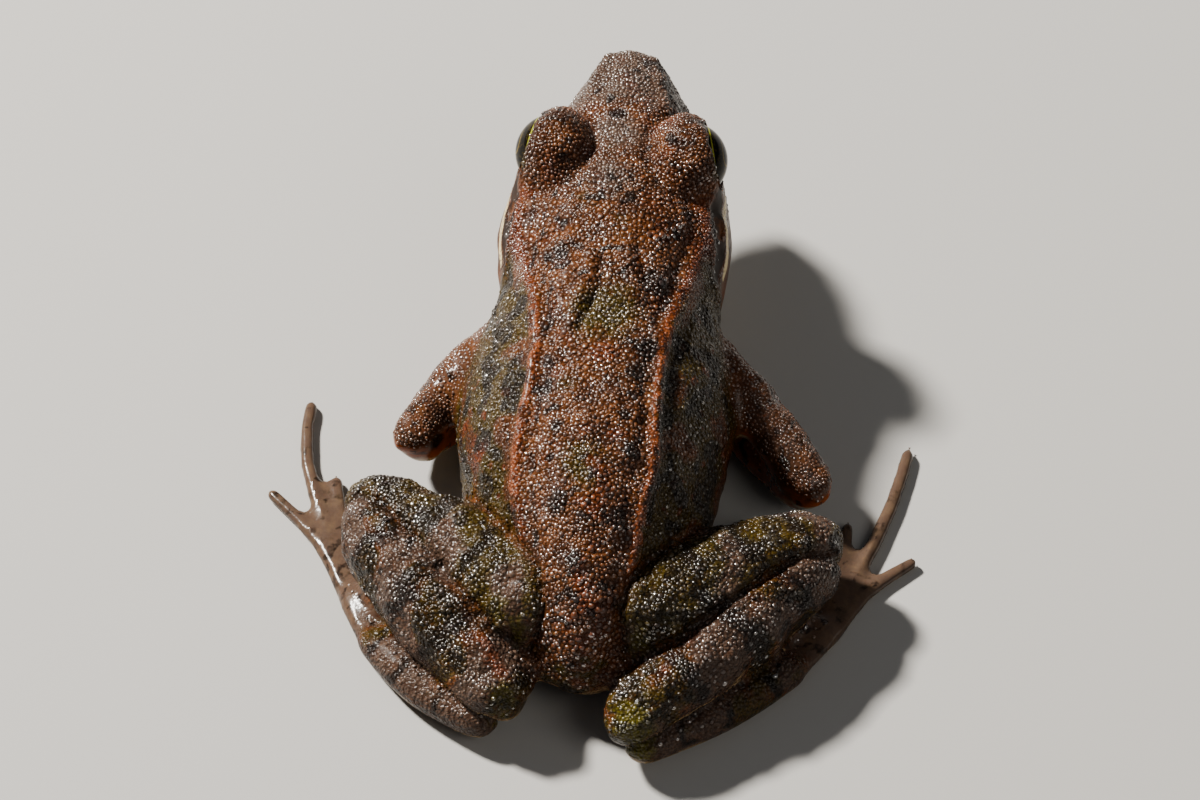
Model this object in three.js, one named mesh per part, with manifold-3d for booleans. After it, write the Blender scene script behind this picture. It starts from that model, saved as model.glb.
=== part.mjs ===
// A young common frog, sitting with its hind legs folded and its elbows out. Millimetres, +Z up.
// The snout points along -Y and the frog's left is +X. X = 0 is the midline and Z = 0 the ground.
// The origin is on the flat of the belly where it rests on the ground.
import * as THREE from "three";
import { mergeVertices } from "three/addons/utils/BufferGeometryUtils.js";
import Module from "manifold-3d";

const wasm = await Module();
wasm.setup();

// ---- Driving dimensions ----

const GAP = 0.2; // the thin cut between two parts of the body
const BIG = 80; // the side of a cutting block, larger than the frog
const SLIVER = 0.024; // facets thinner than this are merged into their neighbours after the cuts

// The trunk and head from vent to snout: where each station is, its height range and half width.
// The body bends a little to its left, and shift is how far a section's centre moves that way.
// square makes a section boxier than an ellipse, and lean draws its sides in towards the top.
const STATIONS = {
  vent: { y: 16.0, top: 4.9, bottom: 1.1, half: 1.9, shift: 0, square: 2.0, lean: 0.1 },
  tailEnd: { y: 13.8, top: 7.0, bottom: 0.5, half: 2.9, shift: 0, square: 2.0, lean: 0.12 },
  rump: { y: 11.0, top: 8.9, bottom: 0.0, half: 4.0, shift: 0, square: 2.1, lean: 0.14 },
  hips: { y: 8.0, top: 10.3, bottom: -0.2, half: 5.4, shift: 0.1, square: 2.2, lean: 0.15 },
  hump: { y: 4.6, top: 11.0, bottom: -0.3, half: 6.5, shift: 0.3, square: 2.3, lean: 0.14 },
  belly: { y: 1.0, top: 11.2, bottom: -0.25, half: 7.0, shift: 0.35, square: 2.3, lean: 0.13 },
  chest: { y: -2.2, top: 11.6, bottom: 0.8, half: 6.4, shift: 0.25, square: 2.3, lean: 0.12 },
  shoulders: { y: -5.2, top: 12.2, bottom: 2.3, half: 5.7, shift: 0.1, square: 2.3, lean: 0.14 },
  jaw: { y: -8.4, top: 12.7, bottom: 3.6, half: 6.1, shift: 0.15, square: 2.5, lean: 0.24 },
  eyes: { y: -11.6, top: 12.6, bottom: 4.8, half: 5.55, shift: 0.05, square: 2.7, lean: 0.34 },
  cheek: { y: -14.3, top: 12.2, bottom: 5.7, half: 4.65, shift: 0, square: 2.8, lean: 0.38 },
  nostrils: { y: -17.0, top: 11.8, bottom: 6.7, half: 3.35, shift: 0, square: 2.7, lean: 0.36 },
  snout: { y: -19.9, top: 11.0, bottom: 7.9, half: 2.1, shift: 0, square: 2.4, lean: 0.3 },
};
const WIDEST = 0.4; // how far up a section its greatest width lies
const VENT_ROUND = 2.4; // the length over which the body closes at the vent
const SNOUT_ROUND = 2.2; // and at the snout
const NECK_Y = -6.3; // the cut between head and trunk

const EYE = { x: 3.45, y: -11.6, z: 11.15, radius: 2.0 };
const EYE_AXIS = new THREE.Vector3(0.93, -0.2, 0.26).normalize(); // of the left eye
const LID = 0.36; // flesh over the eyeball
const LID_LENGTH = 1.05; // how much longer than round the lids are, from front to back
const OPENING = 0.8; // from the eye's centre to the plane of its opening

const MOUTH = { cornerY: -8.1, cornerZ: 7.0, tipZ: 8.7 }; // the line between the jaws

const DIGIT = { root: 0.52, tip: 0.38, height: 0.32 }; // radii and axis height of fingers and toes
const PALM = { r: [0.95, 0.95], flat: 0.62 }; // flat is the height for the width
const SOLE = { r: [0.85, 1.15], flat: 0.6 };
// The web takes in the share reach of each toe, and hollow is how far its edge draws back from their line.
const WEB = { thickness: 0.5, reach: 0.45, hollow: 0.33, below: 0.02 };
const MUSCLE_PEAK = 0.8; // under 1 draws the thickest part of a limb towards its first joint

// How finely each shape is faceted.
const FACETS = {
  body: { rings: 28, sides: 30 },
  leg: { rings: 12, sides: 18 },
  limb: { rings: 12, sides: 14 },
  palm: { rings: 8, sides: 12 },
  digit: { rings: 8, sides: 8 },
  ball: { down: 12, around: 20 },
  webEdge: 5,
};

// Both sides are listed because the two legs, and the two arms, aren't held quite alike.
// A limb's joints run outwards; r is the radius at each end and swell what its muscle adds.
const SIDES = {
  left: {
    upper_arm: {
      joints: [[4.6, -3.7, 6.1], [7.4, -1.7, 4.6], [9.6, 0.7, 2.7]],
      r: [1.45, 1.2],
      swell: 0.05,
    },
    forearm: {
      joints: [[9.4, 0.6, 2.3], [8.2, -1.0, 1.7], [6.4, -2.6, 1.15]],
      r: [1.1, 0.85],
      swell: 0.35,
    },
    thigh: {
      joints: [[3.0, 11.6, 4.4], [7.5, 8.3, 4.1], [11.1, 5.9, 3.5]],
      r: [2.8, 1.55],
      swell: 0.4,
    },
    shank: {
      joints: [[10.9, 6.9, 3.4], [7.75, 11.0, 3.3], [3.9, 16.0, 2.6]],
      r: [1.75, 1.6],
      swell: 1.0,
    },
    tarsus: {
      joints: [[4.9, 16.8, 1.35], [8.0, 15.1, 1.1], [10.6, 12.4, 0.85]],
      r: [1.15, 0.8],
      swell: 0.05,
    },
    palm: [[5.9, -3.2, 0.75], [4.9, -4.2, 0.5]],
    fingers: [
      [[5.2, -3.5], [4.1, -2.6], [3.0, -2.1]],
      [[4.9, -3.9], [3.5, -3.6], [2.2, -3.7]],
      [[4.9, -4.4], [3.5, -5.2], [2.1, -6.3]],
      [[5.2, -4.7], [4.6, -6.0], [4.0, -7.2]],
    ],
    sole: [[10.6, 12.2, 0.8], [11.6, 9.6, 0.55]],
    toes: [
      [[10.7, 10.6], [9.9, 9.0], [9.3, 7.6]],
      [[11.0, 9.9], [10.7, 7.6], [10.6, 5.2]],
      [[11.5, 9.4], [12.8, 5.6], [13.6, 2.1]],
      [[11.9, 9.2], [14.0, 4.6], [15.4, 0.1], [15.4, -2.8]],
      [[12.1, 9.7], [14.0, 6.1], [16.8, 3.2]],
    ],
  },
  right: {
    upper_arm: {
      joints: [[-4.5, -3.5, 6.0], [-7.7, -0.8, 4.6], [-10.7, 2.3, 2.6]],
      r: [1.45, 1.2],
      swell: 0.05,
    },
    forearm: {
      joints: [[-10.4, 2.0, 2.2], [-8.9, 0.1, 1.6], [-6.9, -1.7, 1.15]],
      r: [1.1, 0.85],
      swell: 0.4,
    },
    thigh: {
      joints: [[-3.0, 11.8, 4.4], [-7.1, 9.2, 4.1], [-10.9, 6.8, 3.6]],
      r: [2.8, 1.75],
      swell: 0.3,
    },
    shank: {
      joints: [[-10.8, 7.8, 3.4], [-7.2, 12.2, 3.3], [-2.6, 17.2, 2.6]],
      r: [1.75, 1.45],
      swell: 0.65,
    },
    tarsus: {
      joints: [[-3.4, 17.7, 1.35], [-7.3, 15.3, 1.1], [-10.4, 12.5, 0.85]],
      r: [1.15, 0.8],
      swell: 0.05,
    },
    palm: [[-6.3, -2.4, 0.75], [-5.3, -3.4, 0.5]],
    fingers: [
      [[-5.6, -2.7], [-4.4, -1.8], [-3.2, -1.4]],
      [[-5.3, -3.1], [-3.9, -2.9], [-2.5, -3.1]],
      [[-5.3, -3.6], [-3.9, -4.6], [-2.6, -5.7]],
      [[-5.6, -3.9], [-5.0, -5.3], [-4.3, -6.5]],
    ],
    sole: [[-10.4, 12.3, 0.8], [-11.6, 9.9, 0.55]],
    toes: [
      [[-10.6, 10.9], [-10.0, 9.4], [-9.5, 7.9]],
      [[-11.0, 10.2], [-10.8, 8.0], [-10.6, 5.6]],
      [[-11.5, 9.7], [-12.4, 6.4], [-12.7, 3.0]],
      [[-11.9, 9.5], [-13.6, 5.4], [-15.0, 1.0], [-15.6, -2.1]],
      [[-12.2, 10.0], [-13.9, 7.0], [-16.1, 5.0]],
    ],
  },
};

// ---- Solids ----

const point = (p) => new THREE.Vector3(...p);

// A closed geometry as a solid that can be joined and cut.
function solid(geometry) {
  const bare = geometry.clone().deleteAttribute("normal").deleteAttribute("uv");
  const merged = mergeVertices(bare, 1e-4);
  return new wasm.Manifold(
    new wasm.Mesh({
      numProp: 3,
      vertProperties: new Float32Array(merged.getAttribute("position").array),
      triVerts: new Uint32Array(merged.index.array),
    }),
  );
}

// Stretches a sphere over rings: at(share, angle) is the point at that share of the way from pole to pole.
function skinOver(at, { rings, sides }) {
  const geometry = new THREE.SphereGeometry(1, sides, rings);
  const position = geometry.getAttribute("position");
  const uv = geometry.getAttribute("uv");
  for (let i = 0; i < position.count; i++) {
    const p = at(1 - uv.getY(i), 2 * Math.PI * uv.getX(i));
    position.setXYZ(i, p.x, p.y, p.z);
  }
  return solid(geometry);
}

// 0 at a rounded end and 1 from depth inwards, as a quarter circle rises.
const roundedEnd = (distance, depth) =>
  distance >= depth ? 1 : Math.sqrt(Math.max(0, 1 - (1 - distance / depth) ** 2));

// A fleshy length along its joints. Rings gather at both ends, which are round.
function limb({ joints, r, swell = 0, flat = 1 }, facets, grow = 0) {
  const points = joints.map(point);
  const ends = [points[0].clone(), points.at(-1).clone()];
  const reach = r.map((radius) => radius + grow);
  points[0].add(ends[0].clone().sub(points[1]).setLength(reach[0]));
  points[points.length - 1].add(ends[1].clone().sub(points.at(-2)).setLength(reach[1]));
  const spine = new THREE.CatmullRomCurve3(points, false, "centripetal");
  const length = spine.getLength();
  const up = new THREE.Vector3(0, 0, 1);
  return skinOver(
    (share, angle) => {
      const s = (1 - Math.cos(Math.PI * share)) / 2;
      const along = spine.getTangentAt(s);
      const side = new THREE.Vector3().crossVectors(along, up).normalize();
      const over = new THREE.Vector3().crossVectors(side, along);
      const muscle = swell * Math.sin(Math.PI * s ** MUSCLE_PEAK);
      const radius = THREE.MathUtils.lerp(reach[0], reach[1], s) + muscle;
      const ring = radius * roundedEnd(s * length, reach[0]) * roundedEnd((1 - s) * length, reach[1]);
      return spine
        .getPointAt(s)
        .addScaledVector(side, ring * Math.cos(angle))
        .addScaledVector(over, ring * flat * Math.sin(angle));
    },
    facets,
  );
}

const power = (value, exponent) => Math.sign(value) * Math.abs(value) ** exponent;

// The trunk and head in one, over the stations.
function body(grow = 0) {
  const rows = Object.values(STATIONS);
  const curve = (x, y, z) =>
    new THREE.CatmullRomCurve3(rows.map((row) => new THREE.Vector3(row[x], row[y], row[z])));
  const heights = curve("y", "top", "bottom");
  const plan = curve("half", "shift", "y");
  const shapes = curve("square", "lean", "y");
  const ends = [rows[0].y, rows.at(-1).y];
  return skinOver(
    (share, angle) => {
      const { x: y, y: top, z: bottom } = heights.getPoint(share);
      const { x: half, y: shift } = plan.getPoint(share);
      const { x: square, y: lean } = shapes.getPoint(share);
      const shut = roundedEnd(ends[0] - y, VENT_ROUND) * roundedEnd(y - ends[1], SNOUT_ROUND);
      const middle = THREE.MathUtils.lerp(bottom, top, WIDEST);
      const rise = Math.sin(angle) > 0 ? top - middle : middle - bottom;
      const lift = power(Math.sin(angle), 2 / square);
      const width = (half + grow) * power(Math.cos(angle), 2 / square) * (1 - lean * Math.max(0, lift) ** 2);
      const swept = y + grow * (1 - 2 * share);
      return new THREE.Vector3(shift - width * shut, swept, middle + (rise + grow) * lift * shut);
    },
    FACETS.body,
  );
}

// A block that fills the space beyond the plane through a point, on the side its normal points to.
function blockBeyond(on, normal) {
  const block = new THREE.BoxGeometry(BIG, BIG, BIG).translate(0, 0, BIG / 2);
  const turn = new THREE.Quaternion().setFromUnitVectors(new THREE.Vector3(0, 0, 1), normal);
  return solid(block.applyQuaternion(turn).translate(...on));
}

function ball(centre, radius, length = 1) {
  const { around, down } = FACETS.ball;
  return solid(new THREE.SphereGeometry(radius, around, down).scale(1, length, 1).translate(...centre));
}

// Joins several solids, in order.
const joined = (solids) => solids.reduce((whole, next) => whole.add(next));

const largest = (pieces) => pieces.reduce((most, piece) => (piece.volume() > most.volume() ? piece : most));

// Cuts the others out of a solid and keeps the largest piece.
const without = (whole, ...others) =>
  largest(others.reduce((rest, other) => rest.subtract(other), whole).decompose());

const ground = blockBeyond(new THREE.Vector3(0, 0, 0), new THREE.Vector3(0, 0, -1));

// ---- Head and trunk ----

const sideSign = { left: 1, right: -1 };

const eyeCentre = (side) => new THREE.Vector3(sideSign[side] * EYE.x, EYE.y, EYE.z);
const eyeAxis = (side) => EYE_AXIS.clone().multiply(new THREE.Vector3(sideSign[side], 1, 1));

// The room that the eyeball takes: a ball a little larger than it, and the opening in front of it.
function eyeSocket(side) {
  const centre = eyeCentre(side);
  const axis = eyeAxis(side);
  const rim = Math.sqrt(EYE.radius ** 2 - OPENING ** 2) + GAP;
  const turn = new THREE.Quaternion().setFromUnitVectors(new THREE.Vector3(0, 1, 0), axis);
  const depth = 2 * EYE.radius;
  const opening = new THREE.CylinderGeometry(rim, rim, depth, FACETS.ball.around)
    .translate(0, OPENING + depth / 2, 0)
    .applyQuaternion(turn)
    .translate(...centre);
  return ball(centre, EYE.radius + GAP).add(solid(opening));
}

const lidded = joined([
  body(),
  ...Object.keys(SIDES).map((side) => ball(eyeCentre(side), EYE.radius + GAP + LID, LID_LENGTH)),
]);
const flesh = without(lidded, ground, ...Object.keys(SIDES).map(eyeSocket));

// The mouth runs level from the snout's tip to its corner, under the eye's rear.
const mouthSlope = (MOUTH.tipZ - MOUTH.cornerZ) / (MOUTH.cornerY - STATIONS.snout.y);
const mouthUp = new THREE.Vector3(0, mouthSlope, 1).normalize();
const mouthCorner = new THREE.Vector3(0, MOUTH.cornerY, MOUTH.cornerZ);
const forward = new THREE.Vector3(0, -1, 0);

function jawRegion(grow) {
  const below = blockBeyond(mouthCorner.clone().addScaledVector(mouthUp, grow), mouthUp.clone().negate());
  return below.intersect(blockBeyond(mouthCorner.clone().addScaledVector(forward, -grow), forward));
}

const behindNeck = blockBeyond(new THREE.Vector3(0, NECK_Y + GAP / 2, 0), forward.clone().negate());
const beforeNeck = blockBeyond(new THREE.Vector3(0, NECK_Y - GAP / 2, 0), forward);

const parts = {
  trunk: flesh.intersect(behindNeck),
  head: without(flesh.intersect(beforeNeck), jawRegion(GAP)),
  lower_jaw: flesh.intersect(beforeNeck).intersect(jawRegion(0)),
};
for (const side of Object.keys(SIDES)) parts[`eye_${side}`] = ball(eyeCentre(side), EYE.radius);

// ---- Arms and legs ----

const onGround = ([x, y]) => [x, y, DIGIT.height];

// A finger or toe from its knuckle to its tip.
function digit(joints) {
  return limb({ joints: joints.map(onGround), r: [DIGIT.root, DIGIT.tip] }, FACETS.digit);
}

// The web between two toes: a thin plate from their knuckles out to a hollow edge.
function web(...toes) {
  const [a, b] = toes.map((toe) => {
    const line = new THREE.CatmullRomCurve3(toe.map(onGround).map(point));
    return [0, WEB.reach / 2, WEB.reach].map((share) => line.getPointAt(share));
  });
  const edge = a[2].clone().lerp(b[2], 0.5).lerp(a[0].clone().lerp(b[0], 0.5), WEB.hollow);
  const outline = new THREE.Shape()
    .moveTo(a[0].x, a[0].y)
    .lineTo(a[1].x, a[1].y)
    .lineTo(a[2].x, a[2].y)
    .quadraticCurveTo(edge.x, edge.y, b[2].x, b[2].y)
    .lineTo(b[1].x, b[1].y)
    .lineTo(b[0].x, b[0].y)
    .closePath();
  const depth = WEB.thickness + WEB.below;
  const how = { depth, bevelEnabled: false, curveSegments: FACETS.webEdge };
  return solid(new THREE.ExtrudeGeometry(outline, how).translate(0, 0, -WEB.below));
}

for (const [side, pose] of Object.entries(SIDES)) {
  const grown = (name) => limb(pose[name], FACETS.leg, GAP);
  const trunk = body(GAP);

  parts[`upper_arm_${side}`] = without(limb(pose.upper_arm, FACETS.limb), ground, trunk);
  parts[`forearm_${side}`] = without(limb(pose.forearm, FACETS.limb), ground, trunk, grown("upper_arm"));
  const palm = limb({ joints: pose.palm, ...PALM }, FACETS.palm);
  const hand = joined([palm, ...pose.fingers.map(digit)]);
  parts[`hand_${side}`] = without(hand, ground, trunk, grown("forearm"));

  parts[`thigh_${side}`] = without(limb(pose.thigh, FACETS.leg), ground, trunk);
  parts[`shank_${side}`] = without(limb(pose.shank, FACETS.leg), ground, trunk, grown("thigh"));
  const tarsus = limb(pose.tarsus, FACETS.limb);
  parts[`tarsus_${side}`] = without(tarsus, ground, trunk, grown("thigh"), grown("shank"));
  const sole = limb({ joints: pose.sole, ...SOLE }, FACETS.palm);
  const webs = pose.toes.slice(1).map((toe, i) => web(pose.toes[i], toe));
  const foot = joined([sole, ...pose.toes.map(digit), ...webs]);
  parts[`foot_${side}`] = without(foot, ground, grown("tarsus"), grown("shank"), grown("thigh"));
}

// ---- The model ----

const skinColour = { back: 0x735040, limbs: 0x5e4838, belly: 0x9a7a5c };
const finishes = [
  { of: /^eye/, color: 0x0d0a07, roughness: 0.05, metalness: 0 },
  { of: /^(hand|foot|lower_jaw)/, color: skinColour.belly, roughness: 0.4, metalness: 0 },
  { of: /^(thigh|shank|tarsus|upper_arm|forearm)/, color: skinColour.limbs, roughness: 0.35, metalness: 0 },
  { of: /./, color: skinColour.back, roughness: 0.35, metalness: 0 },
];

function meshOf(name) {
  const clean = largest(parts[name].asOriginal().simplify(SLIVER).decompose());
  const { vertProperties, triVerts, numProp } = clean.getMesh();
  const geometry = new THREE.BufferGeometry();
  geometry.setAttribute("position", new THREE.BufferAttribute(vertProperties, numProp));
  geometry.setIndex(new THREE.BufferAttribute(triVerts, 1));
  geometry.computeVertexNormals();
  const { of, ...finish } = finishes.find((entry) => entry.of.test(name));
  const mesh = new THREE.Mesh(geometry, new THREE.MeshStandardMaterial(finish));
  mesh.name = name;
  return mesh;
}

const grouped = (names) => new THREE.Group().add(...names.map(meshOf));

const frog = new THREE.Group();
frog.add(grouped(["trunk"]), grouped(["head", "lower_jaw", "eye_left", "eye_right"]));
for (const side of Object.keys(SIDES)) {
  frog.add(grouped(["upper_arm", "forearm", "hand"].map((name) => `${name}_${side}`)));
  frog.add(grouped(["thigh", "shank", "tarsus", "foot"].map((name) => `${name}_${side}`)));
}

export default frog;
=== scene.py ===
import math

import bmesh
import bpy
import numpy as np
from mathutils import Matrix, Vector, noise
from mathutils.bvhtree import BVHTree


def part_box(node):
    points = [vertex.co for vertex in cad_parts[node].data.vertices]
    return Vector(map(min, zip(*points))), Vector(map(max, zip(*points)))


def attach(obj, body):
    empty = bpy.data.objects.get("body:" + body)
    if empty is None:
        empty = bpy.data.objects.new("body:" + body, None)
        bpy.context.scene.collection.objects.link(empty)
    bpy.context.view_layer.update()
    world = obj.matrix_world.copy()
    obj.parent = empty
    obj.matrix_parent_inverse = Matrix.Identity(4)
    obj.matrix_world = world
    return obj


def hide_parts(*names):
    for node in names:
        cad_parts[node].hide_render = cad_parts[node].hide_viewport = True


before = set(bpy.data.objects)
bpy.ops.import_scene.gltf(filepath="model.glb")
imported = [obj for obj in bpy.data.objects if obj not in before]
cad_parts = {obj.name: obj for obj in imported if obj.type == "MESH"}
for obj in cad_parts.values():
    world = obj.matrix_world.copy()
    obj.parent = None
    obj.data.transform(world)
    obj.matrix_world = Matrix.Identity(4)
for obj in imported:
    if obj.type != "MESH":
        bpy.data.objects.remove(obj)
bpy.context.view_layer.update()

# ---- Skin ----
# A frog wears one thin wet hide over all its flesh, from the lips to the toes. Here it is drawn over
# the body's nodes in one piece and smoothed over the cuts between them, but stays sharply creased
# where folded limbs press together. The eyes stay in their own sockets.

MM = 0.001  # the model is in metres, and a frog is measured in millimetres
EYE_NODES = ("eye_left", "eye_right")
ENDS = ("_left", "_right")
CLOSE = 0.16  # how far each node swells to close the cuts between them
HIDE = 0.02  # how deep the hide lies inside the flesh's outline, as its beads stand on it
CELL = 0.182  # the size of the hide's facets
REACH = 1.6  # how far from a node a point still counts as near it
BORDER = 0.3  # how far the skin of one node runs over into the next one's
EASE = 0.6  # how far one round of smoothing moves a point towards its neighbours
FEWEST_ROUNDS = 4  # rounds of smoothing deep in a crease
BROAD_ROUNDS = 60  # rounds that leave only the broad part of what smoothing drew in
GIVEN_BACK = 0.8  # how much of that part is given back
SOFTNESS = {
    "trunk": 70,
    "head": 46,
    "lower_jaw": 46,
    "thigh": 50,
    "shank": 44,
    "upper_arm": 26,
    "forearm": 22,
    "tarsus": 16,
    "hand": 5,
    "foot": 5,
}  # rounds of smoothing that each part gets


def kind_of(node):
    return node.removesuffix("_left").removesuffix("_right")


def step(low, high, value):
    """0 below low and 1 above high, eased between them."""
    t = np.clip((value - low) / (high - low), 0, 1)
    return t * t * (3 - 2 * t)


def bell(distance, width):
    return np.exp(-((distance / width) ** 2))


def most(*layers):
    """The greatest of the layers at each vertex."""
    return np.maximum.reduce(layers)


def read(parts, name, width, number=float):
    """One value of every vertex, edge or corner, in rows of that width."""
    found = np.empty(len(parts) * width, number)
    parts.foreach_get(name, found)
    return found.reshape(-1, width)


def places(mesh):
    return read(mesh.vertices, "co", 3)


def outward(mesh):
    return read(mesh.vertex_normals, "vector", 3)


def put(mesh, points):
    mesh.vertices.foreach_set("co", points.ravel())
    mesh.update()


def set_down(name, data):
    """Puts a mesh, lamp or camera into the scene."""
    made = bpy.data.objects.new(name, data)
    bpy.context.scene.collection.objects.link(made)
    return made


def welded(node):
    """A bmesh copy of a CAD node in millimetres, with its facets joined."""
    copy = bmesh.new()
    copy.from_mesh(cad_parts[node].data)
    bmesh.ops.scale(copy, vec=(1 / MM,) * 3, verts=copy.verts)
    bmesh.ops.remove_doubles(copy, verts=copy.verts, dist=1e-4)
    copy.normal_update()
    return copy


flesh = sorted(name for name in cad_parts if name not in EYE_NODES)
skin_mesh = bpy.data.meshes.new("skin")
trees = {}
swollen = bmesh.new()
for name in flesh:
    copy = welded(name)
    trees[name] = BVHTree.FromBMesh(copy)
    for vert in copy.verts:
        vert.co += CLOSE * vert.normal
    copy.to_mesh(skin_mesh)
    swollen.from_mesh(skin_mesh)
    copy.free()
swollen.to_mesh(skin_mesh)
swollen.free()

skin = set_down("skin", skin_mesh)
cells = skin.modifiers.new("cells", "REMESH")
cells.mode = "VOXEL"
cells.voxel_size = CELL
cells.use_smooth_shade = True
bpy.context.view_layer.update()
drawn = skin.evaluated_get(bpy.context.evaluated_depsgraph_get())
skin.data = bpy.data.meshes.new_from_object(drawn)
skin.modifiers.clear()

# Only the outer shell is kept: a space closed in between two nodes isn't skin.
shell = bmesh.new()
shell.from_mesh(skin.data)
shell.verts.ensure_lookup_table()
seen = np.zeros(len(shell.verts), bool)
islands = []
for start in shell.verts:
    if seen[start.index]:
        continue
    seen[start.index] = True
    island = [start]
    for vert in island:
        for edge in vert.link_edges:
            other = edge.other_vert(vert)
            if not seen[other.index]:
                seen[other.index] = True
                island.append(other)
    islands.append(island)
largest = max(islands, key=len)
bmesh.ops.delete(shell, geom=[v for i in islands if i is not largest for v in i], context="VERTS")
shell.to_mesh(skin.data)
shell.free()

edges = read(skin.data.edges, "vertices", 2, int)
neighbours = np.bincount(edges.ravel(), minlength=len(skin.data.vertices))


def average(values):
    """Each vertex's mean over its neighbours."""
    count = len(neighbours)
    a, b = edges.T
    return (np.bincount(a, values[b], count) + np.bincount(b, values[a], count)) / neighbours


def relax(points, amount):
    """Moves every point that much of the way to the middle of its neighbours."""
    middle = np.stack([average(points[:, k]) for k in range(3)], axis=1)
    return points + amount * (middle - points)


# From here on p holds the skin's points, and later n holds the way outward at each of them.
p = places(skin.data)
near = {name: np.full(len(p), REACH) for name in flesh}
for name in flesh:
    low, high = (np.array(corner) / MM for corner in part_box(name))
    for i in np.flatnonzero(((p > low - REACH) & (p < high + REACH)).all(1)):
        gap = trees[name].find_nearest(p[i], REACH)[3]
        if gap is not None:
            near[name][i] = gap

distances = np.stack([near[name] for name in flesh])
share = np.exp(-(distances - distances.min(0)) / BORDER)
share = dict(zip(flesh, share / share.sum(0)))


def touching(a, b, middle, depth):
    """Where two parts press together on either side, about these widths across and deep."""
    found = np.zeros(len(p))
    for end in ENDS:
        to_a = near[a + end]
        to_b = near.get(b + end, near.get(b))
        found = most(found, bell(to_a - to_b, middle) * bell(np.maximum(to_a, to_b), depth))
    return found


# Where two parts only press together, the crease between them stays sharp.
CREASES = (
    ("thigh", "shank", 1),
    ("shank", "tarsus", 1),
    ("shank", "foot", 1),
    ("thigh", "foot", 1),
    ("forearm", "trunk", 0.6),
    ("hand", "trunk", 0.6),
    ("thigh", "trunk", 0.6),
    ("upper_arm", "forearm", 1),
)  # the two parts and how sharp the crease is
crease = most(*(touching(a, b, 0.45, 0.75) * sharp for a, b, sharp in CREASES))
rounds = sum(SOFTNESS[kind_of(name)] * share[name] for name in flesh)
rounds = FEWEST_ROUNDS + (rounds - FEWEST_ROUNDS) * (1 - 0.9 * crease)
cast = p.copy()
for k in range(max(SOFTNESS.values())):
    p = relax(p, EASE * np.clip(rounds - k, 0, 1)[:, None])
# Smoothing draws rounded ends in, so the broad part of that is given back.
drawn_in = p - cast
for k in range(BROAD_ROUNDS):
    drawn_in = relax(drawn_in, EASE)
p = p - GIVEN_BACK * drawn_in
put(skin.data, p)
p = p - (CLOSE + HIDE) * outward(skin.data)

# ---- Eyelids ----
# The lids are folds of the same skin, drawn snugly round the eyeball. The upper one is thick and
# hardly moves, and a wet crease, painted dark as shade, parts it from the eye.

EYE_RADIUS = 2.0
EYE_CENTRE = (3.45, -11.6, 11.15)
EYE_AXIS = (0.93, -0.2, 0.26)
SIDES = (1, -1)  # the frog's left and its right
LID_TURN = 62  # degrees from the eye's axis to the skin that closes in over the eye
LID_EDGE = 61  # and to the wet edge of the lids


def mirrored(point, side):
    return np.array([point[0] * side, point[1], point[2]])


def unit(vector):
    return np.asarray(vector) / np.linalg.norm(vector)


def eye_frame(side):
    """The eye's centre, its axis out of the head, the way along the head and the way up over it."""
    axis = unit(mirrored(EYE_AXIS, side))
    along = unit(np.cross((0, 0, 1), axis)) * side
    up = unit(np.cross(axis, along)) * side
    return mirrored(EYE_CENTRE, side), axis, along, up


def gap_to(point):
    """Each vertex's distance from a point."""
    return np.linalg.norm(p - np.array(point), axis=1)


lid_edge = np.zeros(len(p))
for side in SIDES:
    centre, axis, along, up = eye_frame(side)
    arm = p - centre
    reach = gap_to(centre)
    turn = np.degrees(np.arccos(np.clip((arm @ axis) / reach, -1, 1)))
    upper = step(-0.3, 0.6, (arm @ up) / reach)
    hug = (0.08 + 0.1 * step(2.1, 2.35, reach)) * (1 - step(2.45, 3.3, reach))
    shut = (3.5 + 4.5 * upper) * bell(turn - LID_TURN, 20) * (1 - step(2.5, 3.2, reach))
    new_turn = np.radians(turn - shut)[:, None]
    across = arm - (arm @ axis)[:, None] * axis
    across /= np.maximum(np.linalg.norm(across, axis=1), 1e-6)[:, None]
    way = np.cos(new_turn) * axis + np.sin(new_turn) * across
    moved = centre + way * np.maximum(reach - hug, EYE_RADIUS + 0.015)[:, None]
    lidded = (reach > EYE_RADIUS - 0.3) & (reach < 3.4)
    p = np.where(lidded[:, None], moved, p)
    lid_edge = most(lid_edge, bell(turn - LID_EDGE, 7) * (1 - step(2.3, 2.5, reach)))
put(skin.data, p)
n = outward(skin.data)

# ---- Folds, warts and ridges ----
# A common frog has a raised glandular fold down each side of the back and a chevron of ridges
# between the shoulders. Low warts stand between them, and the skin sinks where limbs press on it.


def part(*kinds):
    """How much each vertex belongs to any of these kinds of node, from 0 to 1."""
    return sum(share[name] for name in flesh if kind_of(name) in kinds)


def grain(size, seed):
    """Smooth random variation of about that size in millimetres, from about -1 to 1."""
    shift = Vector((seed * 7.3, seed * 3.1, seed * 5.7))
    return np.array([noise.noise(Vector(q) / size + shift) for q in p]) * 1.8


def span(points, path, flat=True):
    """Each point's distance to a path; a flat one is measured across the floor alone."""
    size = 2 if flat else 3
    nearest = np.full(len(points), 99.0)
    for a, b in zip(path, path[1:]):
        a, b = np.array(a[:size]), np.array(b[:size])
        way = b - a
        t = np.clip((points[:, :size] - a) @ way / (way @ way), 0, 1)
        nearest = np.minimum(nearest, np.linalg.norm(points[:, :size] - a - t[:, None] * way, axis=1))
    return nearest


def spots(*listed):
    """Round patches given as x, y, size and strength."""
    found = np.zeros(len(p))
    for sx, sy, size, strength in listed:
        found = most(found, strength * bell(np.hypot(x - sx, y - sy), size))
    return found


def on_top(layer):
    """The layer on the upper side of the body and head alone."""
    return layer * top * body


def closest(point):
    return p[np.argmin(gap_to(point))]


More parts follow.
